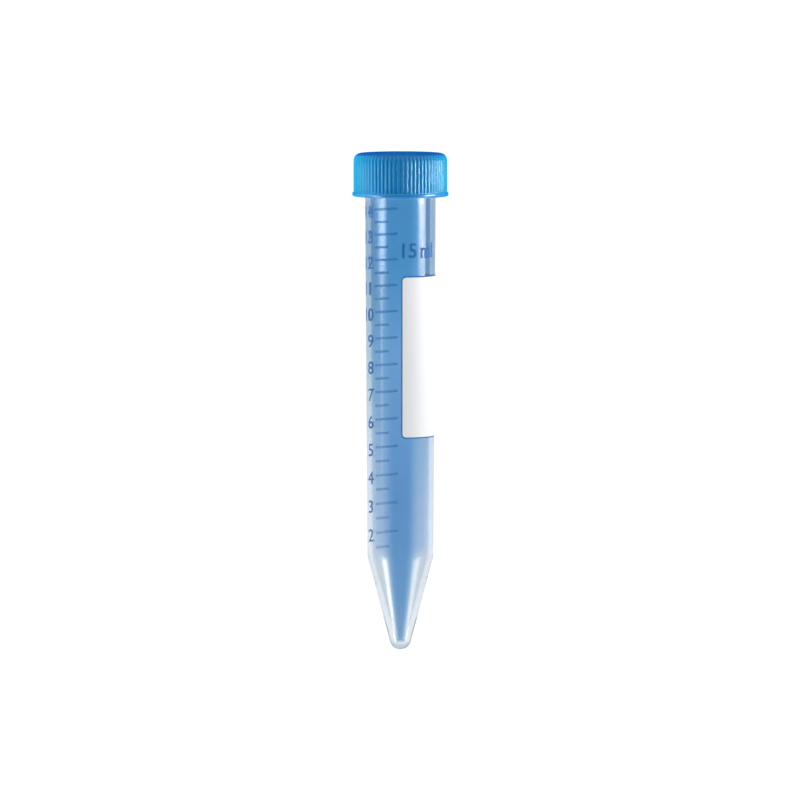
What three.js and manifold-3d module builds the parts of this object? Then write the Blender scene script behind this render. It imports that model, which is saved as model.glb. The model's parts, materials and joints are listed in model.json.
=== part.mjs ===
// A 15 ml conical-bottomed tube with its screw cap, lying on its side as it comes to rest.
//
// Units are millimetres and +Z is up. The tube is turned about the Y axis, with the cap towards +Y,
// and every height along that axis is measured from the tip of the cone. Angles round the axis
// are counted from +Z, the side that faces up when the tube lies, towards +X.

import * as THREE from 'three';
import { mergeVertices } from 'three/addons/utils/BufferGeometryUtils.js';
import { ParametricGeometry } from 'three/addons/geometries/ParametricGeometry.js';
import Module from 'manifold-3d';

// Whole object
const TOTAL_LENGTH = 120;          // tip of the cone to the flat top of the cap

// Tube: barrel, cone and tip
const BARREL_TOP_R = 8.55;         // outside, at the cap's lower edge
const SHOULDER_R = 7.95;           // outside, where the barrel meets the cone
const CONE_LENGTH = 22.4;          // tip to shoulder
const TIP_R = 2.6;                 // outside rounding of the tip
const WALL = 1.25;                 // barrel wall
const CONE_WALL = 1.57;
const TIP_FLOOR = 2.0;             // plastic under the bottom of the bore

// Tube: neck and thread
const RIM_ROUNDING = 0.35;         // edges of the mouth
const THREAD_HEIGHT = 0.75;        // crest above the neck
const THREAD_ROOT_WIDTH = 1.6;
const THREAD_CREST_WIDTH = 0.7;
const THREAD_PITCH = 3.0;
const THREAD_TURNS = 1.5;
const THREAD_BELOW_RIM = 1.5;      // rim to the middle of the ridge's upper end
const THREAD_RUN_OUT = 0.12;       // turns over which the ridge rises from the neck at each end

// Cap
const CAP_HEIGHT = 10.4;
const CAP_EDGE_ROUNDING = 1.1;     // between the flat top and the skirt
const CAP_TOP_THICKNESS = 1.5;
const RIB_TIP_R = 11.3;
const RIB_DEPTH = 0.35;
const RIB_COUNT = 72;
const RIB_FADE = 0.3;              // height over which a rib rises below the rounded edge
const FLANGE_R = 11.6;
const FLANGE_HEIGHT = 1.0;
const FLANGE_ROUNDING = 0.2;
const SKIRT_LEAD_IN = 0.4;         // chamfer inside the lower edge
const PLUG_LENGTH = 2.6;           // ring under the top that plugs the mouth
const PLUG_WALL = 0.9;

// Print
const PATCH_BOTTOM_ML = 5.28;      // volume at the white patch's lower edge
const PATCH_LENGTH = 38.5;
const MARK_WIDTH = 0.48;
const SCALE_FIRST_ML = 1.5;
const SCALE_LAST_ML = 14;
const SCALE_STEP_ML = 0.5;
const PRINT_THICKNESS = 0.1;

// Clearances
const RIM_CLEARANCE = 0.3;         // rim to the underside of the cap's top
const PLUG_CLEARANCE = 0.3;        // plug to the bore
const THREAD_CLEARANCE = 0.35;     // thread crest to the cap's bore
const PRINT_CLEARANCE = 0.05;      // print to the barrel
const MARK_CLEARANCE = 0.3;        // uppermost mark to the cap

// Facets
const TUBE_FACETS = 48;
const FLANGE_FACETS = 18;          // wide enough for the flange to rest steadily on one
const PATCH_FIRST_FACET = 0;       // facets are counted from the one next to +Z, towards +X
const PATCH_FACETS = 16;
const SCALE_FIRST_FACET = -7;
const LONG_MARK_FACETS = 6;
const SHORT_MARK_FACETS = 4;
const ARC_STEPS = 5;
const VOLUME_STEP = 0.02;          // slice used when the bore's volume is added up

const wasm = await Module();
wasm.setup();

// ---------------------------------------------------------------- outlines

// Points of an arc about (r, y), from one angle to another, each counted from +r towards +y.
function arc(centreR, centreY, radius, from, to, steps = ARC_STEPS) {
  const points = [];
  for (let i = 0; i <= steps; i += 1) {
    const angle = from + ((to - from) * i) / steps;
    points.push(new THREE.Vector2(centreR + radius * Math.cos(angle), centreY + radius * Math.sin(angle)));
  }
  return points;
}

const point = (r, y) => new THREE.Vector2(r, y);

// ---------------------------------------------------------------- solids

function toSolid(geometry) {
  const bare = geometry.clone();
  bare.deleteAttribute('normal');
  bare.deleteAttribute('uv');
  const merged = mergeVertices(bare);
  const corners = merged.index.array;
  const triangles = [];
  for (let i = 0; i < corners.length; i += 3) {
    const [a, b, c] = corners.slice(i, i + 3);
    if (a !== b && b !== c && c !== a) {
      triangles.push(a, b, c);
    }
  }
  return new wasm.Manifold(new wasm.Mesh({
    numProp: 3,
    vertProperties: new Float32Array(merged.attributes.position.array),
    triVerts: new Uint32Array(triangles),
  }));
}

function toGeometry(solid) {
  const mesh = solid.getMesh();
  const geometry = new THREE.BufferGeometry();
  geometry.setAttribute('position', new THREE.BufferAttribute(mesh.vertProperties, 3));
  geometry.setIndex(new THREE.BufferAttribute(mesh.triVerts, 1));
  geometry.computeVertexNormals();
  return geometry;
}

// ---------------------------------------------------------------- places worked out from the sizes

const capBottom = TOTAL_LENGTH - CAP_HEIGHT;
const capUnderside = TOTAL_LENGTH - CAP_TOP_THICKNESS;
const rimHeight = capUnderside - RIM_CLEARANCE;
const ribRootR = RIB_TIP_R - RIB_DEPTH;
const threadCrestR = BARREL_TOP_R + THREAD_HEIGHT;
const capBoreR = threadCrestR + THREAD_CLEARANCE;
const mouthR = BARREL_TOP_R - WALL;

// Half-angle of the cone: its side runs from the shoulder to where it meets the rounded tip.
const tipToShoulder = Math.hypot(SHOULDER_R, CONE_LENGTH - TIP_R);
const coneHalfAngle = Math.atan2(SHOULDER_R, CONE_LENGTH - TIP_R) - Math.asin(TIP_R / tipToShoulder);

// Outside radius of the barrel at a height: a straight draft from the shoulder to the cap.
const draft = (BARREL_TOP_R - SHOULDER_R) / (capBottom - CONE_LENGTH);
const barrelR = (y) => SHOULDER_R + (y - CONE_LENGTH) * draft;

// The cone's bore is parallel to its outside, and its rounded bottom leaves TIP_FLOOR below it.
const boreTipCentre = TIP_R + (TIP_FLOOR - CONE_WALL) / (1 - Math.sin(coneHalfAngle));
const boreTipR = boreTipCentre - TIP_FLOOR;
const boreTipEnd = boreTipCentre - boreTipR * Math.sin(coneHalfAngle);
const coneBoreR = (y) => boreTipR * Math.cos(coneHalfAngle) + (y - boreTipEnd) * Math.tan(coneHalfAngle);
const barrelBoreR = (y) => barrelR(y) - WALL;

// The bore changes from cone to barrel where the two have the same radius.
const boreStep = barrelBoreR(CONE_LENGTH) - coneBoreR(CONE_LENGTH);
const boreShoulder = CONE_LENGTH + boreStep / (Math.tan(coneHalfAngle) - draft);

function boreR(y) {
  if (y < boreTipEnd) {
    return Math.sqrt(Math.max(0, boreTipR ** 2 - (y - boreTipCentre) ** 2));
  }
  return y < boreShoulder ? coneBoreR(y) : barrelBoreR(y);
}

// Height at which the bore holds a volume, adding thin slices up from the bottom.
function heightOfVolume(millilitres) {
  let y = TIP_FLOOR;
  let volume = 0;
  while (volume < millilitres * 1000) {
    volume += Math.PI * boreR(y + VOLUME_STEP / 2) ** 2 * VOLUME_STEP;
    y += VOLUME_STEP;
  }
  return y;
}

// ---------------------------------------------------------------- tube

// Ridge of the screw thread, wound round the neck and run out to nothing at both ends.
function threadRidge() {
  const rootR = BARREL_TOP_R - WALL / 2;
  const outline = [
    point(rootR, -THREAD_ROOT_WIDTH / 2),
    point(threadCrestR, -THREAD_CREST_WIDTH / 2),
    point(threadCrestR, THREAD_CREST_WIDTH / 2),
    point(rootR, THREAD_ROOT_WIDTH / 2),
  ];
  const low = rimHeight - THREAD_BELOW_RIM - THREAD_PITCH * THREAD_TURNS;
  const surface = (u, v, target) => {
    const corner = outline[Math.round(u * outline.length) % outline.length];
    const size = Math.min(1, (v * THREAD_TURNS) / THREAD_RUN_OUT, ((1 - v) * THREAD_TURNS) / THREAD_RUN_OUT);
    const r = rootR + (corner.x - rootR) * size;
    const y = low + THREAD_PITCH * THREAD_TURNS * v + corner.y * size;
    const angle = (2 * Math.PI * (TUBE_FACETS * THREAD_TURNS * v + 0.5)) / TUBE_FACETS;
    target.set(r * Math.sin(angle), y, r * Math.cos(angle));
  };
  return new ParametricGeometry(surface, outline.length, Math.round(TUBE_FACETS * THREAD_TURNS));
}

function tubeGeometry() {
  const outline = [
    ...arc(0, TIP_R, TIP_R, -Math.PI / 2, -coneHalfAngle),
    point(SHOULDER_R, CONE_LENGTH),
    point(BARREL_TOP_R, capBottom),
    ...arc(BARREL_TOP_R - RIM_ROUNDING, rimHeight - RIM_ROUNDING, RIM_ROUNDING, 0, Math.PI / 2, 2),
    ...arc(mouthR + RIM_ROUNDING, rimHeight - RIM_ROUNDING, RIM_ROUNDING, Math.PI / 2, Math.PI, 2),
    point(mouthR, capBottom),
    point(barrelBoreR(boreShoulder), boreShoulder),
    ...arc(0, boreTipCentre, boreTipR, -coneHalfAngle, -Math.PI / 2),
  ];
  outline[0].x = 0;
  outline[outline.length - 1].x = 0;
  const body = new THREE.LatheGeometry(outline, TUBE_FACETS, Math.PI / TUBE_FACETS);
  return toGeometry(toSolid(body).add(toSolid(threadRidge())));
}

// ---------------------------------------------------------------- cap

const flangeTop = capBottom + FLANGE_HEIGHT;

// Top, skirt and plug in one turned outline, with the ribs raised on the skirt's outside.
function cupGeometry() {
  const edgeStart = TOTAL_LENGTH - CAP_EDGE_ROUNDING;
  const plugR = mouthR - PLUG_CLEARANCE;
  const outline = [
    point(0, capUnderside),
    point(plugR - PLUG_WALL, capUnderside),
    point(plugR - PLUG_WALL, capUnderside - PLUG_LENGTH),
    point(plugR, capUnderside - PLUG_LENGTH),
    point(plugR, capUnderside),
    point(capBoreR, capUnderside),
    point(capBoreR, capBottom + SKIRT_LEAD_IN),
    point(capBoreR + SKIRT_LEAD_IN, capBottom),
    point(ribRootR, capBottom),
    point(ribRootR, flangeTop),
    point(ribRootR, edgeStart - RIB_FADE),
    ...arc(ribRootR - CAP_EDGE_ROUNDING, edgeStart, CAP_EDGE_ROUNDING, 0, Math.PI / 2, 4),
    point(0, TOTAL_LENGTH),
  ];
  const lowestRibRow = outline.findIndex((p) => p.x === ribRootR && p.y === flangeTop);
  const ribbedRows = [lowestRibRow, lowestRibRow + 1];
  const geometry = new THREE.LatheGeometry(outline, 2 * RIB_COUNT, Math.PI / (2 * RIB_COUNT));
  const position = geometry.attributes.position;
  for (let side = 0; side <= 2 * RIB_COUNT; side += 2) {
    for (const row of ribbedRows) {
      const vertex = side * outline.length + row;
      const swell = RIB_TIP_R / ribRootR;
      position.setX(vertex, position.getX(vertex) * swell);
      position.setZ(vertex, position.getZ(vertex) * swell);
    }
  }
  return geometry;
}

// Slim ring round the skirt's lower edge.
function flangeGeometry() {
  const innerR = (capBoreR + SKIRT_LEAD_IN + ribRootR) / 2;
  const outline = [
    point(innerR, capBottom),
    point(FLANGE_R - FLANGE_ROUNDING, capBottom),
    point(FLANGE_R, capBottom + FLANGE_ROUNDING),
    point(FLANGE_R, flangeTop - FLANGE_ROUNDING),
    point(FLANGE_R - FLANGE_ROUNDING, flangeTop),
    point(innerR, flangeTop),
    point(innerR, capBottom),
  ];
  return new THREE.LatheGeometry(outline, FLANGE_FACETS, Math.PI / FLANGE_FACETS);
}

function capGeometry() {
  return toGeometry(toSolid(cupGeometry()).add(toSolid(flangeGeometry())));
}

// ---------------------------------------------------------------- print

// Thin printed film that covers whole facets of the barrel, from one height to another.
function printGeometry(firstFacet, facets, bottom, length) {
  const corner = (i, r) => {
    const angle = (2 * Math.PI * (firstFacet + i + 0.5)) / TUBE_FACETS;
    return new THREE.Vector2(r * Math.sin(angle), -r * Math.cos(angle));
  };
  const innerR = barrelR(bottom) + PRINT_CLEARANCE;
  const inner = [];
  const outer = [];
  for (let i = 0; i <= facets; i += 1) {
    inner.push(corner(i, innerR));
    outer.unshift(corner(i, innerR + PRINT_THICKNESS));
  }
  const section = new THREE.Shape([...inner, ...outer]);
  const geometry = new THREE.ExtrudeGeometry(section, { depth: length, steps: 1, bevelEnabled: false });
  geometry.rotateX(-Math.PI / 2);
  geometry.translate(0, bottom, 0);
  const position = geometry.attributes.position;
  for (let i = 0; i < position.count; i += 1) {
    const r = Math.hypot(position.getX(i), position.getZ(i));
    const swell = (r + barrelR(position.getY(i)) - barrelR(bottom)) / r;
    position.setX(i, position.getX(i) * swell);
    position.setZ(i, position.getZ(i) * swell);
  }
  return geometry;
}

// ---------------------------------------------------------------- assembly

const clearBlue = new THREE.MeshStandardMaterial({ color: 0x9cc4e4, roughness: 0.12, metalness: 0 });
const capBlue = new THREE.MeshStandardMaterial({ color: 0x1f74b8, roughness: 0.3, metalness: 0 });
const whiteInk = new THREE.MeshStandardMaterial({ color: 0xf2f5f8, roughness: 0.6, metalness: 0 });
const blueInk = new THREE.MeshStandardMaterial({ color: 0x1d4f8f, roughness: 0.5, metalness: 0 });

const lyingTube = new THREE.Group();

function addPiece(name, geometry, material) {
  const mesh = new THREE.Mesh(geometry, material);
  mesh.name = name;
  lyingTube.add(mesh);
}

addPiece('tube', tubeGeometry(), clearBlue);
addPiece('cap', capGeometry(), capBlue);

const patchBottom = heightOfVolume(PATCH_BOTTOM_ML);
addPiece('writing_patch', printGeometry(PATCH_FIRST_FACET, PATCH_FACETS, patchBottom, PATCH_LENGTH), whiteInk);

// The scale ends where the cap begins: a slimmer barrel holds less and has fewer marks.
const scaleTop = capBottom - MARK_CLEARANCE - MARK_WIDTH;
for (let volume = SCALE_FIRST_ML; volume <= SCALE_LAST_ML; volume += SCALE_STEP_ML) {
  const facets = Number.isInteger(volume) ? LONG_MARK_FACETS : SHORT_MARK_FACETS;
  const bottom = heightOfVolume(volume) - MARK_WIDTH / 2;
  if (bottom > scaleTop) break;
  addPiece(`mark_${volume}_ml`, printGeometry(SCALE_FIRST_FACET, facets, bottom, MARK_WIDTH), blueInk);
}

// The tube lies on the flange of its cap and on its shoulder, each on the flat of a facet.
const flangeFlat = FLANGE_R * Math.cos(Math.PI / FLANGE_FACETS);
const shoulderFlat = SHOULDER_R * Math.cos(Math.PI / TUBE_FACETS);
const flangeContact = capBottom + FLANGE_ROUNDING;
lyingTube.rotation.x = Math.atan2(flangeFlat - shoulderFlat, flangeContact - CONE_LENGTH);

const reach = new THREE.Box3().setFromObject(lyingTube, true);
const middle = reach.getCenter(new THREE.Vector3());
lyingTube.position.set(-middle.x, -middle.y, -reach.min.z);

const model = new THREE.Group();
model.add(lyingTube);

export default model;
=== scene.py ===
import json
import math

import bmesh
import bpy
import numpy as np
from mathutils import Matrix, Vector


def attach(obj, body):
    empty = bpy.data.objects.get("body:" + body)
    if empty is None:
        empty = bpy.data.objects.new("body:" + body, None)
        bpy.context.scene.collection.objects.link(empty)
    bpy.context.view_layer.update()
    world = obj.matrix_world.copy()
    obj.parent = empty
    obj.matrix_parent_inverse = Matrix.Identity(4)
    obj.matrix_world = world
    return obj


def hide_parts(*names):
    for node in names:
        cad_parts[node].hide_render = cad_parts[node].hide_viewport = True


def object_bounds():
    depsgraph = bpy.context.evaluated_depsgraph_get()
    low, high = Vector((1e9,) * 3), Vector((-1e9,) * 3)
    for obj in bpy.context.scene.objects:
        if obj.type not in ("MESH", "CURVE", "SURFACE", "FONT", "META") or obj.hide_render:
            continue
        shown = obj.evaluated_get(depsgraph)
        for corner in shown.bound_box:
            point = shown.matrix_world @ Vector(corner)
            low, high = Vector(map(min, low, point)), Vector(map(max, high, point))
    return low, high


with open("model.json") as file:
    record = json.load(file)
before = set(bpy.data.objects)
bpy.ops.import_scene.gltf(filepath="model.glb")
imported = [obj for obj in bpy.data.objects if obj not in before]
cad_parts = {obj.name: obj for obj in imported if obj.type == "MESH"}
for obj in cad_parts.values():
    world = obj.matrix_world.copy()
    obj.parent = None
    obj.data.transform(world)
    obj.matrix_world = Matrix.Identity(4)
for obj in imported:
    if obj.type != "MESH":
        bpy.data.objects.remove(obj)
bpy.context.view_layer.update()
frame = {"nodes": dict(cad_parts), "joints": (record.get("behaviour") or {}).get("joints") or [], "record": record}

scene = bpy.context.scene

# ---------------------------------------------------------------- tube
# One injection moulding in clear plastic, given a painted light blue tint that stands in for a blue backdrop
# seen through it: a barrel that widens a little towards the mouth, a cone with a thick rounded tip, and a neck
# with an outside screw thread.
# Sizes are in millimetres, out from the tube's axis and along it from the tip of the cone.
TOTAL_LENGTH = 120.0
BARREL_TOP_R = 8.55
SHOULDER_R = 7.95
CONE_LENGTH = 22.4
TIP_R = 2.6
WALL = 1.25
CONE_WALL = 1.57
TIP_FLOOR = 2.0
CAP_HEIGHT = 10.4
CAP_TOP_THICKNESS = 1.5
RIM_CLEARANCE = 0.3
RIM_ROUNDING = 0.35
SHOULDER_ROUNDING = 0.9
THREAD_HEIGHT = 0.75
THREAD_ROOT_WIDTH = 1.6
THREAD_CREST_WIDTH = 0.7
THREAD_PITCH = 3.0
THREAD_TURNS = 1.5
THREAD_BELOW_RIM = 1.5
THREAD_RUN_OUT = 0.12              # share of a turn
TUBE_COLUMNS = 240
WALL_STEP = 2.0
CONE_STEP = 1.0
NECK_STEP = 0.12

cap_bottom = TOTAL_LENGTH - CAP_HEIGHT
rim = TOTAL_LENGTH - CAP_TOP_THICKNESS - RIM_CLEARANCE
mouth_r = BARREL_TOP_R - WALL
tip_to_shoulder = math.hypot(SHOULDER_R, CONE_LENGTH - TIP_R)
cone_angle = math.atan2(SHOULDER_R, CONE_LENGTH - TIP_R) - math.asin(TIP_R / tip_to_shoulder)
draft = (BARREL_TOP_R - SHOULDER_R) / (cap_bottom - CONE_LENGTH)
bore_tip = TIP_R + (TIP_FLOOR - CONE_WALL) / (1 - math.sin(cone_angle))
bore_tip_r = bore_tip - TIP_FLOOR
bore_tip_end = bore_tip - bore_tip_r * math.sin(cone_angle)

# The tube lies on its side, on its cap's flange and on the shoulder above its cone, so its axis climbs a
# little towards the cap. Angles go round the axis from the side that faces up, towards the white patch.
along = np.array(frame["joints"][0]["axis"])
across = np.array([1.0, 0.0, 0.0])
upward = np.cross(across, along)
tip = np.array(frame["record"]["mounts"][0]["pos_m"]) - along * TOTAL_LENGTH / 1000


def lying(radius, height, angle):
    """Places in metres: out from the axis by the radius at that angle, and along it by the height."""
    radius, height, angle = np.broadcast_arrays(radius, height, angle)
    out = np.sin(angle)[..., None] * across + np.cos(angle)[..., None] * upward
    return tip + (radius[..., None] * out + height[..., None] * along) / 1000


def barrel_r(height):
    """Outside radius of the barrel: a straight draft from the shoulder to the cap."""
    return SHOULDER_R + draft * (height - CONE_LENGTH)


def cone_bore_r(height):
    """Radius of the cone's bore, which is parallel to the cone's outside."""
    return bore_tip_r * math.cos(cone_angle) + (height - bore_tip_end) * math.tan(cone_angle)


def arc(centre, radius, start, end, steps):
    """Points of a circle's arc about (radius, height), between two angles counted from outward to upward."""
    turn = np.linspace(start, end, steps + 1)
    return np.column_stack([centre[0] + radius * np.cos(turn), centre[1] + radius * np.sin(turn)])


def run(start, end, longest):
    """Points of a straight run from start up to but not including end, no further apart than the longest."""
    steps = max(1, math.ceil(math.dist(start, end) / longest))
    share = np.linspace(0, 1, steps, endpoint=False)[:, None]
    return np.asarray(start) * (1 - share) + np.asarray(end) * share


def unit(way):
    """The same way, with a length of 1."""
    return way / np.linalg.norm(way)


def fillet(before, corner, after, radius, steps):
    """A corner of an outline rounded off: the arc of that radius that touches both lines that meet there."""
    before, corner, after = (np.asarray(place, float) for place in (before, corner, after))
    first = unit(before - corner)
    second = unit(after - corner)
    half = math.acos(float(np.clip(first @ second, -1, 1))) / 2
    centre = corner + unit(first + second) * radius / math.sin(half)
    start = corner + first * radius / math.tan(half) - centre
    end = corner + second * radius / math.tan(half) - centre
    turn = np.linspace(0, 1, steps + 1)[:, None]
    whole = math.acos(float(np.clip(start @ end / radius**2, -1, 1)))
    return centre + (np.sin((1 - turn) * whole) * start + np.sin(turn * whole) * end) / math.sin(whole)


def surface(name, points, faces, smooth=False):
    """A new piece with those corners and faces."""
    mesh = bpy.data.meshes.new(name)
    mesh.from_pydata(points.tolist(), [], faces)
    mesh.polygons.foreach_set("use_smooth", np.full(len(mesh.polygons), smooth))
    mesh.update()
    piece = bpy.data.objects.new(name, mesh)
    scene.collection.objects.link(piece)
    return piece


def turned(name, outline, columns, radius_at):
    """A closed surface turned about the axis. Each row (radius, height) of the outline becomes a ring, and
    its first and last rows, which lie on the axis, become single points. radius_at gives each ring its radius
    at each angle. The UV map "wrap" holds the angle as a share of a turn and the height as a share of the
    length."""
    angle = np.arange(columns) * 2 * math.pi / columns
    radius, height, angle = np.broadcast_arrays(outline[1:-1, :1], outline[1:-1, 1:], angle[None, :])
    rings = lying(radius_at(radius, height, angle), height, angle)
    points = np.vstack([rings.reshape(-1, 3), lying(0.0, outline[[0, -1], 1], 0.0)])
    last = len(rings) - 1
    row, column = np.meshgrid(np.arange(last), np.arange(columns), indexing="ij")
    quad_row = np.stack([row, row, row + 1, row + 1], -1).reshape(-1, 4)
    quad_column = np.stack([column, column + 1, column + 1, column], -1).reshape(-1, 4)
    quads = quad_row * columns + quad_column % columns
    column = np.arange(columns)
    onward = (column + 1) % columns
    first_pole = np.full(columns, len(points) - 2)
    first_fan = np.column_stack([first_pole, onward, column])
    last_fan = np.column_stack([first_pole + 1, last * columns + column, last * columns + onward])
    piece = surface(name, points, quads.tolist() + first_fan.tolist() + last_fan.tolist(), smooth=True)
    fan_turn = np.column_stack([column + 0.5, column + 1, column])
    turn = np.concatenate([quad_column.ravel(), fan_turn.ravel(), fan_turn[:, [0, 2, 1]].ravel()]) / columns
    level = np.concatenate([outline[1:-1, 1][quad_row].ravel(), np.tile(outline[[0, 1, 1], 1], columns),
                            np.tile(outline[[-1, -2, -2], 1], columns)]) / TOTAL_LENGTH
    wrap = piece.data.uv_layers.new(name="wrap")
    wrap.data.foreach_set("uv", np.column_stack([turn, level]).astype(np.float32).ravel())
    return piece


def smooth_step(share):
    """A share held between 0 and 1 that leaves the one and reaches the other gently."""
    share = np.clip(share, 0, 1)
    return share * share * (3 - 2 * share)


def ridge(from_middle, height):
    """Height of a screw thread's ridge at a distance from its middle: level at the crest, with sloping
    sides."""
    slope = (THREAD_ROOT_WIDTH / 2 - np.abs(from_middle)) / ((THREAD_ROOT_WIDTH - THREAD_CREST_WIDTH) / 2)
    return height * smooth_step(slope)


thread_low = rim - THREAD_BELOW_RIM - THREAD_PITCH * THREAD_TURNS


def wound(height, angle, low):
    """A thread's helix that starts at the low height. Gives the distance along the axis to its nearest turn,
    and how far the ridge has risen there, since it runs out at both ends."""
    turn = angle / (2 * math.pi)
    nearest = np.round((height - low) / THREAD_PITCH - turn)
    turns = np.clip(nearest, 0, math.ceil(THREAD_TURNS)) + turn
    risen = smooth_step(np.minimum(turns, THREAD_TURNS - turns) / THREAD_RUN_OUT)
    return height - low - turns * THREAD_PITCH, risen


def threaded_neck(radius, height, angle):
    """The neck's outside swells into the ridge of the thread. The bore and the barrel keep their radius."""
    distance, risen = wound(height, angle, thread_low)
    outside = (radius > BARREL_TOP_R - RIM_ROUNDING / 2) & (height > cap_bottom)
    return radius + outside * risen * ridge(distance, THREAD_HEIGHT)


shoulder = (SHOULDER_R, CONE_LENGTH)
neck_foot = (BARREL_TOP_R, cap_bottom)
cone_foot = (TIP_R * math.cos(cone_angle), TIP_R - TIP_R * math.sin(cone_angle))
bore_corner = (SHOULDER_R - WALL, CONE_LENGTH + WALL * math.tan(cone_angle / 2))
bore_foot = (bore_tip_r * math.cos(cone_angle), bore_tip_end)
outer_shoulder = fillet(cone_foot, shoulder, neck_foot, SHOULDER_ROUNDING, steps=6)
inner_shoulder = fillet((mouth_r, cap_bottom), bore_corner, bore_foot, SHOULDER_ROUNDING, steps=6)
lip = rim - RIM_ROUNDING
outside = np.vstack([
    arc((0, TIP_R), TIP_R, -math.pi / 2, -cone_angle, steps=14)[:-1],
    run(cone_foot, outer_shoulder[0], CONE_STEP),
    outer_shoulder,
    run(outer_shoulder[-1], neck_foot, WALL_STEP)[1:],
    run(neck_foot, (BARREL_TOP_R, lip), NECK_STEP),
    arc((BARREL_TOP_R - RIM_ROUNDING, lip), RIM_ROUNDING, 0, math.pi / 2, steps=5),
])
inside = np.vstack([
    arc((mouth_r + RIM_ROUNDING, lip), RIM_ROUNDING, math.pi / 2, math.pi, steps=5),
    run((mouth_r, lip), (mouth_r, cap_bottom), WALL_STEP)[1:],
    run((mouth_r, cap_bottom), inner_shoulder[0], WALL_STEP),
    inner_shoulder,
    run(inner_shoulder[-1], bore_foot, CONE_STEP)[1:],
    arc((0, bore_tip), bore_tip_r, -cone_angle, -math.pi / 2, steps=12),
])
outside[0, 0] = 0
inside[-1, 0] = 0
tube = turned("clear_tube", np.vstack([outside, inside]), TUBE_COLUMNS, threaded_neck)
# The attribute "bore" tells the inside of the wall (1) from its outside (0).
of_bore = np.repeat([0.0, 1.0], [(len(outside) - 1) * TUBE_COLUMNS, (len(inside) - 1) * TUBE_COLUMNS])
tube.data.attributes.new("bore", "FLOAT", "POINT").data.foreach_set("value", np.append(of_bore, [0.0, 1.0]))


def node(tree, kind, inputs=None, **settings):
    """A node of that kind with its settings. Its inputs are set to plain values or joined to outputs."""
    made = tree.nodes.new(kind)
    for key, value in settings.items():
        setattr(made, key, value)
    for key, value in (inputs or {}).items():
        if isinstance(value, bpy.types.NodeSocket):
            tree.links.new(value, made.inputs[key])
        else:
            made.inputs[key].default_value = value
    return made


def new_material(name):
    """An empty material and its output node."""
    material = bpy.data.materials.new(name)
    material.use_nodes = True
    material.node_tree.nodes.clear()
    return material, material.node_tree, node(material.node_tree, "ShaderNodeOutputMaterial")


def ramp(tree, factor, stops):
    """A colour ramp through (position, colour) stops."""
    made = node(tree, "ShaderNodeValToRGB", {"Fac": factor})
    elements = made.color_ramp.elements
    while len(elements) < len(stops):
        elements.new(1.0)
    for element, (position, colour) in zip(elements, stops):
        element.position = position
        element.color = (*colour, 1.0)
    return made.outputs["Color"]


CLEAR_IOR = 1.49
MOULD_RINGS = (16.1, 17.5, 22.7)
MOULD_RING_WIDTH = 0.25
MOULD_RING_RELIEF = 3.3            # against the flow lines
FLOW_DEPTH = 0.0045
# Tint of the plastic by height, as a share of the length: where the wall is seen square on, then on the
# flanks to either side, and last at the edges, where light runs along the wall. All of it is painted light.
# The blue stands in for a blue backdrop seen through the clear wall, and it is deeper below the cap as painted
# light from the cap. The pale flanks of the cone and lower barrel are painted highlights, and so are the bright
# bands in the tip and above the shoulder and the pale lower edges. The dark bands in the tip and the dark edges
# below the cap are painted shade.
CORE_PAINTED_LIGHT = [
    (0.010, (0.30, 0.42, 0.52)),
    (0.014, (0.55, 0.64, 0.68)),
    (0.0165, (0.74, 0.84, 0.94)),
    (0.020, (0.40, 0.555, 0.715)),
    (0.100, (0.31, 0.515, 0.710)),
    (0.300, (0.27, 0.485, 0.700)),
    (0.600, (0.325, 0.550, 0.765)),
    (0.800, (0.155, 0.465, 0.685)),
    (0.905, (0.155, 0.465, 0.685)),
    (0.935, (0.62, 0.78, 0.88)),
]
FLANK_PAINTED_LIGHT = [
    (0.010, (0.30, 0.42, 0.52)),
    (0.014, (0.55, 0.64, 0.68)),
    (0.020, (0.70, 0.77, 0.82)),
    (0.180, (0.70, 0.75, 0.80)),
    (0.210, (0.56, 0.66, 0.78)),
    (0.370, (0.48, 0.62, 0.76)),
    (0.600, (0.34, 0.57, 0.76)),
    (0.800, (0.27, 0.50, 0.69)),
    (0.905, (0.27, 0.50, 0.69)),
    (0.935, (0.65, 0.80, 0.88)),
]
EDGE_PAINTED_LIGHT = [
    (0.000, (0.58, 0.66, 0.72)),
    (0.180, (0.66, 0.73, 0.79)),
    (0.210, (0.86, 0.91, 0.94)),
    (0.400, (0.72, 0.78, 0.86)),
    (0.800, (0.09, 0.20, 0.37)),
    (0.905, (0.09, 0.20, 0.37)),
    (0.935, (0.78, 0.87, 0.92)),
]
FLANK_SPAN = (0.03, 0.22)          # how far aside the core's tint goes over to the flank's
EDGE_SPAN = (0.60, 0.90)           # and the flank's to the edge's

clear_plastic, tree, output = new_material("clear_plastic_painted_blue")
wrap = node(tree, "ShaderNodeSeparateXYZ", {0: node(tree, "ShaderNodeUVMap", uv_map="wrap").outputs[0]})
level = wrap.outputs["Y"]

# How far aside the line of sight meets the tube: the square of the sine of its angle to the radius there.
place = node(tree, "ShaderNodeTexCoord").outputs["Object"]
from_tip = node(tree, "ShaderNodeVectorMath", {0: place, 1: tuple(tip)}, operation="SUBTRACT").outputs[0]
climbed = node(tree, "ShaderNodeVectorMath", {0: from_tip, 1: tuple(along)}, operation="DOT_PRODUCT")
on_axis = node(tree, "ShaderNodeVectorMath", {0: tuple(along), "Scale": climbed.outputs["Value"]},
               operation="SCALE").outputs[0]
outward = node(tree, "ShaderNodeVectorMath", {0: from_tip, 1: on_axis}, operation="SUBTRACT").outputs[0]
radial = node(tree, "ShaderNodeVectorMath", {0: outward}, operation="NORMALIZE").outputs[0]
aside = node(tree, "ShaderNodeLayerWeight", {"Blend": 0.75, "Normal": radial}).outputs["Facing"]


def eased(tree, value, start, end):
    """A share that eases from 0 to 1 as the value goes from start to end."""
    made = node(tree, "ShaderNodeMapRange", {"Value": value, "From Min": start, "From Max": end},
                interpolation_type="SMOOTHSTEP")
    return made.outputs["Result"]


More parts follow.
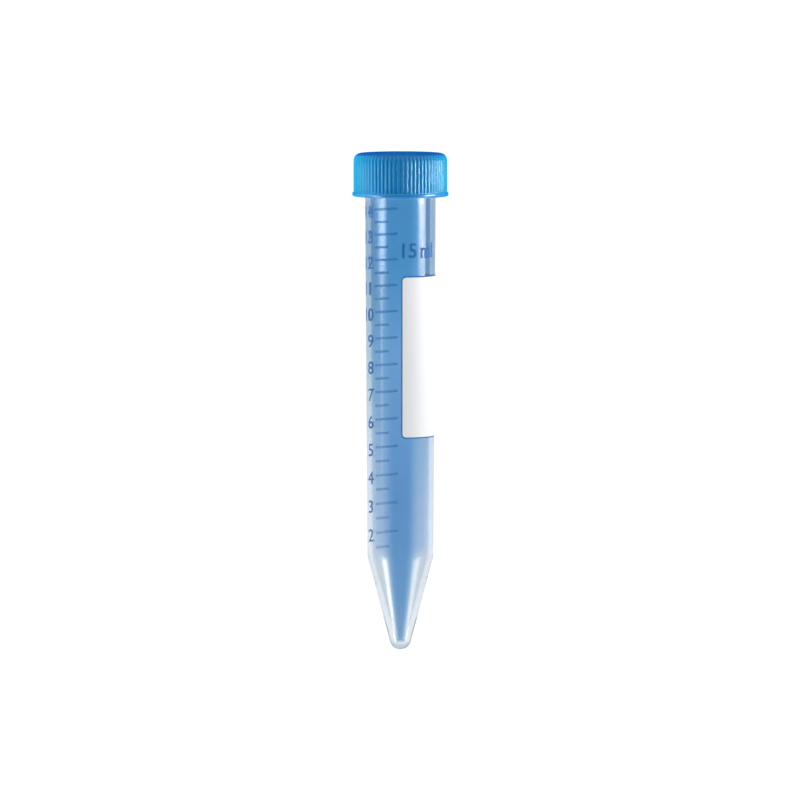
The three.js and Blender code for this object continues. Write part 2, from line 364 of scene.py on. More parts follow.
def blended(tree, share, first, second):
    """The first colour, going over to the second by the share."""
    made = node(tree, "ShaderNodeMix", data_type="RGBA")
    for socket, value in zip((made.inputs[0], made.inputs[6], made.inputs[7]), (share, first, second)):
        tree.links.new(value, socket)
    return made.outputs[2]


# The wall's painted light: the blue seen through it, its painted highlights and its painted shade.
on_flank = eased(tree, aside, *FLANK_SPAN)
on_edge = eased(tree, aside, *EDGE_SPAN)
painted_light_tint = blended(tree, on_flank, ramp(tree, level, CORE_PAINTED_LIGHT), ramp(tree, level, FLANK_PAINTED_LIGHT))
painted_light_tint = blended(tree, on_edge, painted_light_tint, ramp(tree, level, EDGE_PAINTED_LIGHT))
bore = node(tree, "ShaderNodeAttribute", attribute_name="bore").outputs["Fac"]
reflection_tint = ramp(tree, bore, [(0.0, (1.0, 0.85, 0.68)), (1.0, (0.15, 0.15, 0.15))])
# Faint flow lines along the moulding, and the fine rings that the mould's joints leave on the cone.
stretched = node(tree, "ShaderNodeMapping", {"Vector": place, "Scale": (1.0, 0.06, 1.0)}).outputs[0]
flow = node(tree, "ShaderNodeTexNoise", {"Vector": stretched, "Scale": 400.0, "Detail": 1.0}).outputs["Fac"]
relief = flow
for ring in MOULD_RINGS:
    away = node(tree, "ShaderNodeMath", {0: level, 1: ring / TOTAL_LENGTH}, operation="SUBTRACT")
    away = node(tree, "ShaderNodeMath", {0: away.outputs[0]}, operation="ABSOLUTE").outputs[0]
    line = eased(tree, away, MOULD_RING_WIDTH / TOTAL_LENGTH, 0.0)
    relief = node(tree, "ShaderNodeMath", {0: line, 1: MOULD_RING_RELIEF, 2: relief},
                  operation="MULTIPLY_ADD").outputs[0]
skin = node(tree, "ShaderNodeBump", {"Height": relief, "Strength": 1.0, "Distance": FLOW_DEPTH / 1000})
plastic = node(tree, "ShaderNodeBsdfPrincipled", {
    "Base Color": painted_light_tint, "Roughness": 0.09, "IOR": CLEAR_IOR, "Transmission Weight": 1.0,
    "Specular IOR Level": 0.58, "Specular Tint": reflection_tint, "Normal": skin.outputs["Normal"],
})
# The lamps' light passes through with a pale tint only, so that the shadow stays pale.
passed = node(tree, "ShaderNodeBsdfTransparent", {"Color": (0.80, 0.90, 0.97, 1.0)})
in_shadow = node(tree, "ShaderNodeLightPath").outputs["Is Shadow Ray"]
shell = node(tree, "ShaderNodeMixShader", {0: in_shadow, 1: plastic.outputs[0], 2: passed.outputs[0]})
tree.links.new(shell.outputs[0], output.inputs["Surface"])
tube.data.materials.append(clear_plastic)
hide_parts("tube")
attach(tube, "tube_body")

# ---------------------------------------------------------------- printed scale
# Screen printed in dark blue ink round the left of the barrel: a long line at each whole millilitre and a
# short line half way between, each where the bore holds that volume. The print climbs towards the patch.
SCALE_FIRST_ML = 1.5
SCALE_LAST_ML = 14.0
SCALE_STEP_ML = 0.5
LINE_WIDTH = 0.6
LINE_STEPS = 24
LINE_START = math.radians(-47.0)
LONG_LINE_END = math.radians(-4.5)
SHORT_LINE_END = math.radians(-19.5)
INK_THICKNESS = 0.03
INK_GAP = 0.02
CLIMB_AT_TOP = 0.06                # rise for each millimetre round the barrel
CLIMB_AT_BOTTOM = 0.13
LINE_COVER = (0.19, 0.30)          # the share of light that the ink stops, at the bottom and at the top
BORE_SLICES = 4000


def printed(height, angle):
    """Places on the barrel, raised by the ink's gap. The height climbs with the arc's length towards the
    patch, by a share that grows from the top of the barrel to its bottom."""
    down = (cap_bottom - height) / (cap_bottom - CONE_LENGTH)
    climb = CLIMB_AT_TOP + (CLIMB_AT_BOTTOM - CLIMB_AT_TOP) * down
    height = height + climb * barrel_r(height) * np.minimum(angle, 0)
    return lying(barrel_r(height) + INK_GAP, height, angle)


def inked(piece, material):
    """Gives a printed sheet the ink's thickness, its material and its place on the tube's body."""
    solid = piece.modifiers.new("ink", "SOLIDIFY")
    solid.thickness = INK_THICKNESS / 1000
    solid.offset = 1.0
    piece.data.materials.append(material)
    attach(piece, "tube_body")


# The volume held, in millilitres, up to each of many heights: the bore's area summed from its tip.
slices = np.linspace(TIP_FLOOR, cap_bottom, BORE_SLICES + 1)
bore_r = np.minimum(cone_bore_r(slices), barrel_r(slices) - WALL)
in_tip = slices < bore_tip_end
bore_r[in_tip] = np.sqrt(bore_tip_r**2 - (slices[in_tip] - bore_tip) ** 2)
bore_area = math.pi * bore_r**2
held = np.append(0, np.cumsum((bore_area[1:] + bore_area[:-1]) / 2 * np.diff(slices))) / 1000
mark_volumes = np.arange(SCALE_FIRST_ML, SCALE_LAST_ML + SCALE_STEP_ML / 2, SCALE_STEP_ML)
mark_heights = np.interp(mark_volumes, held, slices)

line_points = []
line_faces = []
for volume, height in zip(mark_volumes, mark_heights):
    end = LONG_LINE_END if volume == round(volume) else SHORT_LINE_END
    angle = np.linspace(LINE_START, end, LINE_STEPS + 1)
    lower = printed(np.full_like(angle, height - LINE_WIDTH / 2), angle)
    upper = printed(np.full_like(angle, height + LINE_WIDTH / 2), angle)
    low = sum(map(len, line_points)) + np.arange(LINE_STEPS)
    high = low + LINE_STEPS + 1
    line_points.append(np.vstack([lower, upper]))
    line_faces.extend(np.column_stack([low, low + 1, high + 1, high]).tolist())
scale_lines = surface("scale_lines", np.vstack(line_points), line_faces)


def new_group(name, inputs, outputs):
    """An empty node group with named sockets. Gives the group, its inputs' values and its outputs to join."""
    group = bpy.data.node_groups.new(name, "ShaderNodeTree")
    for direction, sockets in (("INPUT", inputs), ("OUTPUT", outputs)):
        for socket, kind in sockets.items():
            group.interface.new_socket(name=socket, in_out=direction, socket_type="NodeSocket" + kind)
    return group, node(group, "NodeGroupInput").outputs, node(group, "NodeGroupOutput").inputs


GRAIN_DEPTH = 0.02
# The fine grain of ink and moulded plastic: a mottle to vary the colour by, and the uneven skin's normal.
fine_grain, given, wanted = new_group(
    "fine_grain", {"Place": "Vector", "Scale": "Float", "Detail": "Float", "Strength": "Float"},
    {"Mottle": "Float", "Normal": "Vector"})
mottle = node(fine_grain, "ShaderNodeTexNoise", {
    "Vector": given["Place"], "Scale": given["Scale"], "Detail": given["Detail"],
}).outputs["Fac"]
uneven = node(fine_grain, "ShaderNodeBump", {
    "Height": mottle, "Strength": given["Strength"], "Distance": GRAIN_DEPTH / 1000,
})
fine_grain.links.new(mottle, wanted["Mottle"])
fine_grain.links.new(uneven.outputs["Normal"], wanted["Normal"])

# The cover of thinly laid ink, the share of light that it stops, which grows from the cone up to the cap.
thin_cover, given, wanted = new_group(
    "thin_cover", {"Place": "Vector", "Cover below": "Float", "Cover above": "Float"}, {"Cover": "Float"})
cover = node(thin_cover, "ShaderNodeMapRange", {
    "Value": node(thin_cover, "ShaderNodeSeparateXYZ", {0: given["Place"]}).outputs["Y"],
    "From Min": float(lying(0, CONE_LENGTH, 0)[1]), "From Max": float(lying(0, cap_bottom, 0)[1]),
    "To Min": given["Cover below"], "To Max": given["Cover above"],
})
thin_cover.links.new(cover.outputs["Result"], wanted["Cover"])


def dark_blue_ink(name, cover_below, cover_above):
    """The blue ink, with the share of light that it stops at the bottom of the barrel and at its top."""
    material, tree, output = new_material(name)
    place = node(tree, "ShaderNodeTexCoord").outputs["Object"]
    grain = node(tree, "ShaderNodeGroup", {
        "Place": place, "Scale": 3000.0, "Detail": 3.0,
    }, node_tree=fine_grain)
    colour = ramp(tree, grain.outputs["Mottle"], [(0.3, (0.014, 0.12, 0.36)), (0.7, (0.022, 0.145, 0.40))])
    cover = node(tree, "ShaderNodeGroup", {
        "Place": place, "Cover below": cover_below, "Cover above": cover_above,
    }, node_tree=thin_cover)
    ink = node(tree, "ShaderNodeBsdfPrincipled", {
        "Base Color": colour, "Roughness": 0.45, "Specular IOR Level": 0.2, "Alpha": cover.outputs["Cover"],
    })
    tree.links.new(ink.outputs[0], output.inputs["Surface"])
    return material


inked(scale_lines, dark_blue_ink("thin_blue_ink", *LINE_COVER))
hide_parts(*[name for name in frame["nodes"] if name.startswith("mark_")])

# ---------------------------------------------------------------- printed numbers
# The same blue ink, laid on more thickly: a plain number beside each whole millilitre, and above the patch
# the volume that the tube is made for.
NUMBER_HEIGHT = 3.1
NUMBER_DROP = 0.45
NUMBER_END_ABOVE = math.radians(-48.0)
NUMBER_END_BELOW = math.radians(-53.0)
NUMBER_STRETCH = 1.3
NUMBER_STROKE = 0.010
VOLUME_HEIGHT = 3.6
VOLUME_FROM_TOP = 24.8
VOLUME_START = math.radians(-3.0)
VOLUME_STRETCH = 0.92
VOLUME_STROKE = 0.022
WORD_SPACE = 0.6
CURVE_STEPS = 4
DIGIT_SHARE = 0.72                 # height of a digit in letters of size 1
CUT_WIDTH = 0.25
LETTER_WELD = 0.02
NUMBER_COVER = (0.60, 0.85)


def lettering(text, size, align, stretch, stroke):
    """Flat letters as a mesh, made bolder by the stroke, a share of their size, cut into narrow upright
    strips so that they can bend round the barrel, and widened by the stretch."""
    curve = bpy.data.curves.new(text, "FONT")
    curve.body = text
    curve.align_x = align
    curve.size = size
    curve.space_word = WORD_SPACE
    curve.resolution_u = CURVE_STEPS
    flat = bpy.data.objects.new(text, curve)
    scene.collection.objects.link(flat)
    bpy.context.view_layer.update()
    mesh = bpy.data.meshes.new_from_object(flat.evaluated_get(bpy.context.evaluated_depsgraph_get()))
    bpy.data.objects.remove(flat)
    bpy.data.curves.remove(curve)
    shape = bmesh.new()
    shape.from_mesh(mesh)
    bpy.data.meshes.remove(mesh)
    bmesh.ops.remove_doubles(shape, verts=shape.verts, dist=LETTER_WELD)
    spread = bmesh.ops.inset_region(shape, faces=shape.faces[:], thickness=-stroke * size, use_boundary=True)
    bmesh.ops.delete(shape, geom=spread["faces"], context="FACES")
    left = min(corner.co.x for corner in shape.verts)
    right = max(corner.co.x for corner in shape.verts)
    for cut in np.arange(left + CUT_WIDTH, right, CUT_WIDTH):
        everything = shape.verts[:] + shape.edges[:] + shape.faces[:]
        bmesh.ops.bisect_plane(shape, geom=everything, dist=1e-6, plane_co=(cut, 0, 0), plane_no=(1, 0, 0))
    shape.verts.index_update()
    places = np.array([corner.co[:2] for corner in shape.verts]) * (stretch, 1)
    faces = [[corner.index for corner in face.verts] for face in shape.faces]
    shape.free()
    return places, faces


number_points = []
number_faces = []


def print_text(text, digit_height, align, stretch, stroke, angle, baseline):
    """Adds lettering whose baseline is at a height, and which begins or ends at an angle."""
    places, faces = lettering(text, digit_height / DIGIT_SHARE, align, stretch, stroke)
    first = sum(map(len, number_points))
    number_points.append(printed(baseline + places[:, 1], angle + places[:, 0] / barrel_r(baseline)))
    number_faces.extend([[first + corner for corner in face] for face in faces])


for volume, height in zip(mark_volumes, mark_heights):
    if volume == round(volume):
        number_end = np.interp(height, (CONE_LENGTH, cap_bottom), (NUMBER_END_BELOW, NUMBER_END_ABOVE))
        print_text(f"{volume:.0f}", NUMBER_HEIGHT, "RIGHT", NUMBER_STRETCH, NUMBER_STROKE,
                   number_end, height - NUMBER_DROP - NUMBER_HEIGHT / 2)
print_text("15 ml", VOLUME_HEIGHT, "LEFT", VOLUME_STRETCH, VOLUME_STROKE,
           VOLUME_START, TOTAL_LENGTH - VOLUME_FROM_TOP)
scale_numbers = surface("scale_numbers", np.vstack(number_points), number_faces)
blue_ink = dark_blue_ink("dark_blue_ink", *NUMBER_COVER)
inked(scale_numbers, blue_ink)

# ---------------------------------------------------------------- writing patch
# A field of matt white ink to write on, printed on the right of the barrel beside the scale, with rounded
# corners and a thin dark blue line round it, given the blue ink's material.
PATCH_BOTTOM_ML = 5.28
PATCH_LENGTH = 38.5
PATCH_START = math.radians(3.5)
PATCH_END = math.radians(125.0)
PATCH_CORNER = 0.85
BORDER_WIDTH = 0.3
CORNER_STEPS = 8
SIDE_STEPS = 40
PATCH_RINGS = 22

half_length = PATCH_LENGTH / 2
patch_middle = np.interp(PATCH_BOTTOM_ML, held, slices) + half_length
patch_middle_angle = (PATCH_START + PATCH_END) / 2
patch_r = barrel_r(patch_middle)
half_width = (PATCH_END - PATCH_START) / 2 * patch_r


def rounded_field(grow):
    """Closed outline of the field laid flat about its middle, grown outwards: four straight sides joined by
    quarter circles."""
    x = half_width - PATCH_CORNER
    y = half_length - PATCH_CORNER
    bends = []
    for quarter, centre in enumerate([(x, y), (-x, y), (-x, -y), (x, -y)]):
        start = quarter * math.pi / 2
        bends.append(arc(centre, PATCH_CORNER + grow, start, start + math.pi / 2, CORNER_STEPS))
    share = np.linspace(0, 1, SIDE_STEPS, endpoint=False)[1:, None]
    sides = [bend[-1] * (1 - share) + onward[0] * share for bend, onward in zip(bends, bends[1:] + bends[:1])]
    return np.vstack([stretch for pair in zip(bends, sides) for stretch in pair])


# Rings about the middle, each the field's outline drawn in by a share, and the border's ring round them.
field_edge = rounded_field(0)
shares = (np.arange(PATCH_RINGS) + 1) / PATCH_RINGS
flat_rings = np.concatenate([shares[:, None, None] * field_edge, rounded_field(BORDER_WIDTH)[None]])
flat_points = np.vstack([flat_rings.reshape(-1, 2), [[0, 0]]])
patch_heights = flat_points[:, 1] + patch_middle
patch_angles = flat_points[:, 0] / patch_r + patch_middle_angle
patch_points = lying(barrel_r(patch_heights) + INK_GAP, patch_heights, patch_angles)
ring_length = len(field_edge)
ring, spot = np.meshgrid(np.arange(PATCH_RINGS), np.arange(ring_length), indexing="ij")
onward = (spot + 1) % ring_length
patch_quads = np.stack([ring * ring_length + spot, (ring + 1) * ring_length + spot,
                        (ring + 1) * ring_length + onward, ring * ring_length + onward], -1).reshape(-1, 4)
spot = np.arange(ring_length)
patch_fan = np.column_stack([np.full(ring_length, len(flat_points) - 1), spot, (spot + 1) % ring_length])
white_patch = surface("white_patch", patch_points, patch_quads.tolist() + patch_fan.tolist(), smooth=True)
in_border = np.zeros(len(white_patch.data.polygons), np.int32)
in_border[(PATCH_RINGS - 1) * ring_length:PATCH_RINGS * ring_length] = 1
white_patch.data.polygons.foreach_set("material_index", in_border)

white_ink, tree, output = new_material("white_ink")
place = node(tree, "ShaderNodeTexCoord").outputs["Object"]
grain = node(tree, "ShaderNodeGroup", {
    "Place": place, "Scale": 2500.0, "Detail": 4.0, "Strength": 0.2,
}, node_tree=fine_grain)
white = ramp(tree, grain.outputs["Mottle"], [(0.3, (0.775, 0.79, 0.815)), (0.7, (0.795, 0.805, 0.825))])
coat = node(tree, "ShaderNodeBsdfPrincipled", {
    "Base Color": white, "Roughness": 0.55, "Normal": grain.outputs["Normal"],
})
tree.links.new(coat.outputs[0], output.inputs["Surface"])
inked(white_patch, white_ink)
white_patch.data.materials.append(blue_ink)
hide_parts("writing_patch")

# ---------------------------------------------------------------- cap
# One moulding in translucent blue plastic: a flat top with a rounded edge, a skirt with fine upright ribs for
# the fingers, a slim flange round its lower edge, and inside it a ring that plugs the mouth, and the thread.
CAP_EDGE_ROUNDING = 1.75
RIB_TIP_R = 11.3
RIB_DEPTH = 0.18
RIB_COUNT = 72
RIB_BELOW_TOP = 0.4
RIB_FADE = 0.4
GROOVE_SHARPNESS = 2.2             # the power that leaves the ribs rounded and the grooves narrow
FLANGE_R = 11.6
FLANGE_HEIGHT = 1.0
FLANGE_ROUNDING = 0.45
SKIRT_LEAD_IN = 0.4
PLUG_LENGTH = 2.6
PLUG_WALL = 0.9
PLUG_CLEARANCE = 0.3
PLUG_ROOT_ROUNDING = 0.2
BORE_ROOT_ROUNDING = 0.3
THREAD_CLEARANCE = 0.35
CAP_THREAD_HEIGHT = 0.7
CAP_COLUMNS = RIB_COUNT * 8
INNER_MIDDLE_R = 0.8               # the smallest ring of the top's underside
OUTER_MIDDLE_R = 0.5               # the smallest ring of the top
TOP_STEP = 1.2
FACE_STEP = 1.5
BORE_STEP = 0.16
FADE_STEP = 0.1
TOP_DEPTH_SPAN = (0.2, 0.02)       # depths below the top where the look goes over to the top's
EDGE_DEPTH_SPAN = (1.1, 0.2)       # and to the rounded edge's
GROOVE_SPAN = (0.55, 0.05)         # share of the way to a rib's tip where the groove's colour sets in

cap_bore_r = BARREL_TOP_R + THREAD_HEIGHT + THREAD_CLEARANCE
plug_r = mouth_r - PLUG_CLEARANCE
plug_bore_r = plug_r - PLUG_WALL
underside = TOTAL_LENGTH - CAP_TOP_THICKNESS
flange_top = cap_bottom + FLANGE_HEIGHT
edge_start = TOTAL_LENGTH - CAP_EDGE_ROUNDING
edge_r = RIB_TIP_R - CAP_EDGE_ROUNDING


def cap_shape(radius, height, angle):
    """Round ribs stand on the skirt, between grooves that run out below the rounded edge and above the
    flange. The thread's ridge stands inwards on the bore, half a pitch away from the tube's own ridge."""
    from_rib_tip = np.abs(2 * (angle * RIB_COUNT / (2 * math.pi) % 1 - 0.5))
    above = np.clip((height - flange_top) / RIB_FADE, 0, 1)
    below = np.clip((TOTAL_LENGTH - RIB_BELOW_TOP - height) / RIB_FADE, 0, 1)
    on_skirt = radius > (cap_bore_r + RIB_TIP_R) / 2
    groove = on_skirt * RIB_DEPTH * np.sqrt(above * below) * from_rib_tip**GROOVE_SHARPNESS
    distance, risen = wound(height, angle, thread_low - THREAD_PITCH / 2)
    on_bore = np.isclose(radius, cap_bore_r)
    return radius - groove - on_bore * risen * ridge(distance, CAP_THREAD_HEIGHT)


# From the middle of the underside out over the plug ring, down the bore, round the flange, up the skirt and
# over the rounded edge to the middle of the top.
plug_root_inside = (plug_bore_r, underside)
plug_root_outside = (plug_r, underside)
plug_end = (plug_r - PLUG_WALL / 2, underside - PLUG_LENGTH + PLUG_WALL / 2)
bore_root = (cap_bore_r, underside)
bore_end = (cap_bore_r, cap_bottom)
flange_low = (FLANGE_R, cap_bottom)
flange_high = (FLANGE_R, flange_top)
skirt_foot = (RIB_TIP_R, flange_top)
cap_outline = np.vstack([
    [(0, underside)],
    run((INNER_MIDDLE_R, underside), plug_root_inside, FACE_STEP),
    fillet((0, underside), plug_root_inside, (plug_bore_r, cap_bottom), PLUG_ROOT_ROUNDING, steps=3),
    arc(plug_end, PLUG_WALL / 2, -math.pi, 0, steps=8),
    fillet((plug_r, cap_bottom), plug_root_outside, bore_root, PLUG_ROOT_ROUNDING, steps=3),
    fillet(plug_root_outside, bore_root, bore_end, BORE_ROOT_ROUNDING, steps=3)[:-1],
    run((cap_bore_r, underside - BORE_ROOT_ROUNDING), (cap_bore_r, cap_bottom + SKIRT_LEAD_IN), BORE_STEP),
    fillet(bore_root, bore_end, flange_low, SKIRT_LEAD_IN, steps=4),
    fillet(bore_end, flange_low, flange_high, FLANGE_ROUNDING, steps=5),
    fillet(flange_low, flange_high, skirt_foot, FLANGE_ROUNDING / 2, steps=4),
    run(skirt_foot, (RIB_TIP_R, flange_top + RIB_FADE), FADE_STEP),
    run((RIB_TIP_R, flange_top + RIB_FADE), (RIB_TIP_R, edge_start), FACE_STEP),
    arc((edge_r, edge_start), CAP_EDGE_ROUNDING, 0, math.pi / 2, steps=20),
    run((edge_r, TOTAL_LENGTH), (OUTER_MIDDLE_R, TOTAL_LENGTH), TOP_STEP)[1:],
    [(0, TOTAL_LENGTH)],
])
cap = turned("ribbed_cap", cap_outline, CAP_COLUMNS, cap_shape)

blue_plastic, tree, output = new_material("translucent_blue_plastic")
place = node(tree, "ShaderNodeTexCoord").outputs["Object"]
wrap = node(tree, "ShaderNodeSeparateXYZ", {0: node(tree, "ShaderNodeUVMap", uv_map="wrap").outputs[0]})
level = wrap.outputs["Y"]


def below_top(depth):
    """The height, as a share of the length, at a depth below the cap's top."""
    return 1 - depth / TOTAL_LENGTH


# Where on the cap: its top, its rounded edge, above the flange, and in the grooves of the skirt's side.
on_top = eased(tree, level, *map(below_top, TOP_DEPTH_SPAN))
on_edge = eased(tree, level, *map(below_top, EDGE_DEPTH_SPAN))
on_side = node(tree, "ShaderNodeMapRange", {"Value": on_edge, "To Min": 1.0, "To Max": 0.0}).outputs["Result"]
above_flange = eased(tree, level, flange_top / TOTAL_LENGTH, (flange_top + RIB_FADE) / TOTAL_LENGTH)
rib_turn = node(tree, "ShaderNodeMath", {0: wrap.outputs["X"], 1: 2.0 * RIB_COUNT}, operation="MULTIPLY")
to_rib_tip = node(tree, "ShaderNodeMath", {0: rib_turn.outputs[0], 1: 1.0}, operation="PINGPONG").outputs[0]
groove_shade_mask = node(tree, "ShaderNodeMath", {0: eased(tree, to_rib_tip, *GROOVE_SPAN), 1: on_side},
                 operation="MULTIPLY")
groove_shade_mask = node(tree, "ShaderNodeMath", {0: groove_shade_mask.outputs[0], 1: above_flange}, operation="MULTIPLY")

cloud = node(tree, "ShaderNodeTexNoise", {"Vector": place, "Scale": 120.0, "Detail": 2.0}).outputs["Fac"]
rib_colour = ramp(tree, cloud, [(0.35, (0.004, 0.124, 0.455)), (0.65, (0.006, 0.145, 0.495))])
# The grooves between the ribs are painted darker: painted shade in the recesses.
groove_painted_shade = ramp(tree, cloud, [(0.35, (0.002, 0.078, 0.300)), (0.65, (0.004, 0.092, 0.330))])
cap_colour_and_groove_shade = blended(tree, groove_shade_mask.outputs[0], rib_colour, groove_painted_shade)
roughness = node(tree, "ShaderNodeMapRange", {"Value": on_top, "To Min": 0.14, "To Max": 1.0})
grain = node(tree, "ShaderNodeGroup", {
    "Place": place, "Scale": 4000.0, "Detail": 2.0, "Strength": 0.04,
}, node_tree=fine_grain)
# The plastic glows greenish where the eye grazes its side, and less so on the flange.
sheen = node(tree, "ShaderNodeMath", {0: above_flange, 1: 0.5, 2: 0.5}, operation="MULTIPLY_ADD")
sheen = node(tree, "ShaderNodeMapRange", {"Value": on_edge, "To Min": sheen.outputs[0], "To Max": 0.0})
# Its gloss is highest a little aside of where it is seen square on, and stronger on the flange.
facing = node(tree, "ShaderNodeLayerWeight", {"Blend": 0.5}).outputs["Facing"]
gloss = ramp(tree, facing, [
    (0.0, (0.10, 0.10, 0.10)),
    (0.09, (0.32, 0.32, 0.32)),
    (0.2, (0.6, 0.6, 0.6)),
    (0.36, (0.42, 0.42, 0.42)),
    (0.5, (0.08, 0.08, 0.08)),
    (0.65, (0.0, 0.0, 0.0)),
])
flange_gloss = node(tree, "ShaderNodeMapRange", {"Value": above_flange, "To Min": 3.0, "To Max": 1.0})
gloss = node(tree, "ShaderNodeMath", {0: gloss, 1: flange_gloss.outputs["Result"]}, operation="MULTIPLY")
moulded = node(tree, "ShaderNodeBsdfPrincipled", {
    "Base Color": cap_colour_and_groove_shade, "Roughness": roughness.outputs["Result"], "IOR": 1.5,
    "Specular IOR Level": gloss.outputs[0], "Specular Tint": (0.55, 0.90, 0.90, 1.0),
    "Sheen Weight": sheen.outputs["Result"], "Sheen Roughness": 0.6, "Sheen Tint": (0.0, 1.0, 0.75, 1.0),
    "Subsurface Weight": 0.3, "Subsurface Scale": 0.001, "Subsurface Radius": (0.2, 0.4, 4.0),
    "Normal": grain.outputs["Normal"],
})
tree.links.new(moulded.outputs[0], output.inputs["Surface"])
cap.data.materials.append(blue_plastic)
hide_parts("cap")
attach(cap, "cap_body")

# ---------------------------------------------------------------- surface, lamps and camera
# The tube lies on a plain white surface in a bright room. Long soft lamps stand beside it, two more beyond
# the cone, and two small ones close beside the cap.
FLOOR_SIZE = 6000.0
FLOOR_GLOW = 1.18
FLOOR_GLOW_SHARE = 0.75
floor_half = FLOOR_SIZE / 2000
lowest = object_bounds()[0][2]
floor_corners = np.array([(-1, -1, 0), (1, -1, 0), (1, 1, 0), (-1, 1, 0)]) * floor_half + (0, 0, lowest)
floor = surface("floor", floor_corners, [(0, 1, 2, 3)])


def seen_itself(tree):
    """1 for a ray from the eye, mirrored or bent on its way or not, and 0 for one that gathers light."""
    path = node(tree, "ShaderNodeLightPath").outputs
    seen = path["Is Camera Ray"]
    for way in ("Is Glossy Ray", "Is Transmission Ray"):
        seen = node(tree, "ShaderNodeMath", {0: seen, 1: path[way]}, operation="MAXIMUM").outputs[0]
    return seen


# The surface looks nearly as bright as the room, so it has no edge, but its own shading keeps the shadow.
pale, tree, output = new_material("pale_floor")
lit = node(tree, "ShaderNodeBsdfDiffuse", {"Color": (0.85, 0.85, 0.85, 1)})
bright = node(tree, "ShaderNodeEmission", {"Color": (1, 1, 1, 1), "Strength": FLOOR_GLOW})
share = node(tree, "ShaderNodeMath", {0: seen_itself(tree), 1: FLOOR_GLOW_SHARE}, operation="MULTIPLY")
mixed = node(tree, "ShaderNodeMixShader", {0: share.outputs[0], 1: lit.outputs[0], 2: bright.outputs[0]})
tree.links.new(mixed.outputs[0], output.inputs["Surface"])
floor.data.materials.append(pale)

AMBIENT = 0.3
world = bpy.data.worlds.new("even_light")
scene.world = world
world.use_nodes = True
tree = world.node_tree
tree.nodes.clear()
output = node(tree, "ShaderNodeOutputWorld")
strength = node(tree, "ShaderNodeMix", {0: seen_itself(tree), 2: AMBIENT, 3: 1.0}, data_type="FLOAT")
air = node(tree, "ShaderNodeBackground", {"Color": (1, 1, 1, 1), "Strength": strength.outputs[0]})
tree.links.new(air.outputs[0], output.inputs["Surface"])

LAMP_DISTANCE = 900.0
CAP_LAMP_R = 60.0
CAP_LAMP_BEYOND = 8.0
CAP_LAMP_SIZE = 25.0


def lamp(name, place, back, side, width, length, glow):
    """A flat lamp at a place in metres, which the camera doesn't see. It shines away from back, its width
    lies along side, and its glow is the brightness of its face."""
    light = bpy.data.lights.new(name, "AREA")
    light.shape = "RECTANGLE"
    light.size = width / 1000
    light.size_y = length / 1000
    light.energy = glow * math.pi * light.size * light.size_y
    made = bpy.data.objects.new(name, light)
    scene.collection.objects.link(made)
    axes = Matrix((side, np.cross(back, side), back)).transposed()
    made.matrix_world = Matrix.Translation(place) @ axes.to_4x4()
    made.visible_camera = False
    return made


def swell(tree, share):
    """A share of the way across a lamp made into its light there: the sine of half a turn's share."""
    turn = node(tree, "ShaderNodeMath", {0: share, 1: math.pi}, operation="MULTIPLY")
    return node(tree, "ShaderNodeMath", {0: turn.outputs[0]}, operation="SINE").outputs[0]


def soften(light, rise=None):
    """Makes a lamp's light swell and fade across its width. Along its length it does the same, or else rises
    from nothing over the first share of the length, which is given."""
    light.use_nodes = True
    tree = light.node_tree
    tree.nodes.clear()
    output = node(tree, "ShaderNodeOutputLight")
    face = node(tree, "ShaderNodeNewGeometry").outputs["Parametric"]
    spot = node(tree, "ShaderNodeSeparateXYZ", {0: face}).outputs
    lengthwise = eased(tree, spot["Y"], 0.0, rise) if rise else swell(tree, spot["Y"])
    shine = node(tree, "ShaderNodeMath", {0: swell(tree, spot["X"]), 1: lengthwise}, operation="MULTIPLY")
    emission = node(tree, "ShaderNodeEmission", {"Strength": shine.outputs[0]})
    tree.links.new(emission.outputs[0], output.inputs["Surface"])


def long_lamp(name, angle, width, low, high, fade, glow, mirrored=True):
    """A long soft lamp beside the tube and parallel to it, at an angle round its axis in degrees, from one
    height to another. Its light rises from nothing at the low end over the length of the fade."""
    place = lying(LAMP_DISTANCE, (low + high) / 2, math.radians(angle))
    out = unit(place - lying(0.0, (low + high) / 2, 0.0))
    made = lamp(name, place, out, np.cross(along, out), width, high - low, glow)
    made.visible_glossy = mirrored
    soften(made.data, fade / (high - low))


def end_lamp(name, direction, width, length, glow):
    """A soft lamp beyond the cone, in a direction from the tube's middle."""
    out = unit(np.array(direction))
    place = lying(0.0, TOTAL_LENGTH / 2, 0.0) + out * LAMP_DISTANCE / 1000
    made = lamp(name, place, out, unit(np.cross((0.0, 1.0, 0.0), out)), width, length, glow)
    soften(made.data)


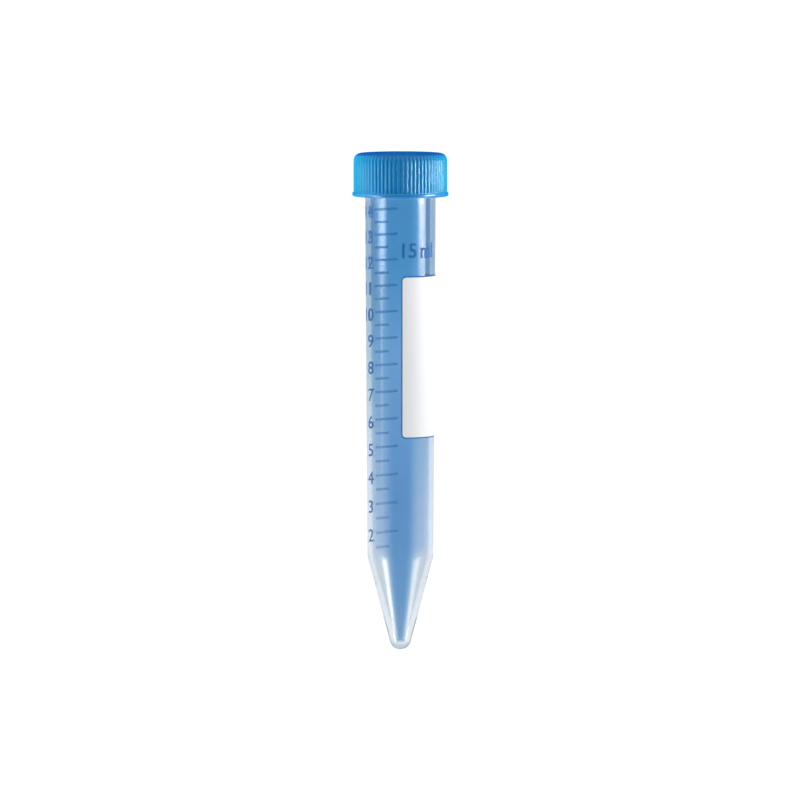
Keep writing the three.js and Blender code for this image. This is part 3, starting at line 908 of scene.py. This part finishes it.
def cap_lamp(name, angle, glow):
    """A small lamp close beside the cap, beyond its top, which lights its ribs and is mirrored in nothing."""
    place = lying(CAP_LAMP_R, TOTAL_LENGTH + CAP_LAMP_BEYOND, math.radians(angle))
    back = unit(place - lying(RIB_TIP_R, cap_bottom + CAP_HEIGHT / 2, math.radians(angle)))
    made = lamp(name, place, back, unit(np.cross(along, back)), CAP_LAMP_SIZE, CAP_LAMP_SIZE, glow)
    made.visible_glossy = False
    made.visible_transmission = False


long_lamp("left_lamp", angle=-62.3, width=590.0, low=15.0, high=65.0, fade=24.0, glow=9.5)
long_lamp("left_fill", angle=-62.3, width=590.0, low=65.0, high=240.0, fade=10.0, glow=9.5, mirrored=False)
long_lamp("left_low_lamp", angle=-65.0, width=190.0, low=-60.0, high=30.0, fade=70.0, glow=3.5)
long_lamp("right_lamp", angle=78.0, width=700.0, low=-5.0, high=330.0, fade=45.0, glow=9.3)
end_lamp("left_end_lamp", direction=(-0.78, -0.50, 0.40), width=400.0, length=500.0, glow=11.0)
end_lamp("right_end_lamp", direction=(0.82, -0.49, 0.38), width=500.0, length=500.0, glow=7.0)
long_lamp("left_cap_glint", angle=-84.0, width=300.0, low=60.0, high=82.0, fade=2.0, glow=9.0)
long_lamp("right_cap_glint", angle=71.0, width=440.0, low=58.0, high=84.0, fade=2.0, glow=34.0)
cap_lamp("left_cap_lamp", angle=-76.0, glow=11.0)
cap_lamp("right_cap_lamp", angle=76.0, glow=9.0)

CAMERA_DISTANCE = 2000.0
CAMERA_BEYOND_CAP = 92.4
AIM_HEIGHT = 60.4
VIEW_WIDTH = 192.9
VIEW_SHIFT = -0.0005
SENSOR_WIDTH = 36.0
eye = lying(CAMERA_DISTANCE, TOTAL_LENGTH + CAMERA_BEYOND_CAP, 0.0)
aim = lying(0.0, AIM_HEIGHT, 0.0)
back = unit(eye - aim)
camera = bpy.data.objects.new("camera", bpy.data.cameras.new("camera"))
scene.collection.objects.link(camera)
camera.location = eye
camera.rotation_euler = Matrix((across, np.cross(back, across), back)).transposed().to_euler()
camera.data.sensor_width = SENSOR_WIDTH
camera.data.lens = SENSOR_WIDTH * math.dist(eye, aim) * 1000 / VIEW_WIDTH
camera.data.shift_x = VIEW_SHIFT
camera.data.clip_end = 10 * CAMERA_DISTANCE / 1000
scene.camera = camera
scene.view_settings.view_transform = "Standard"
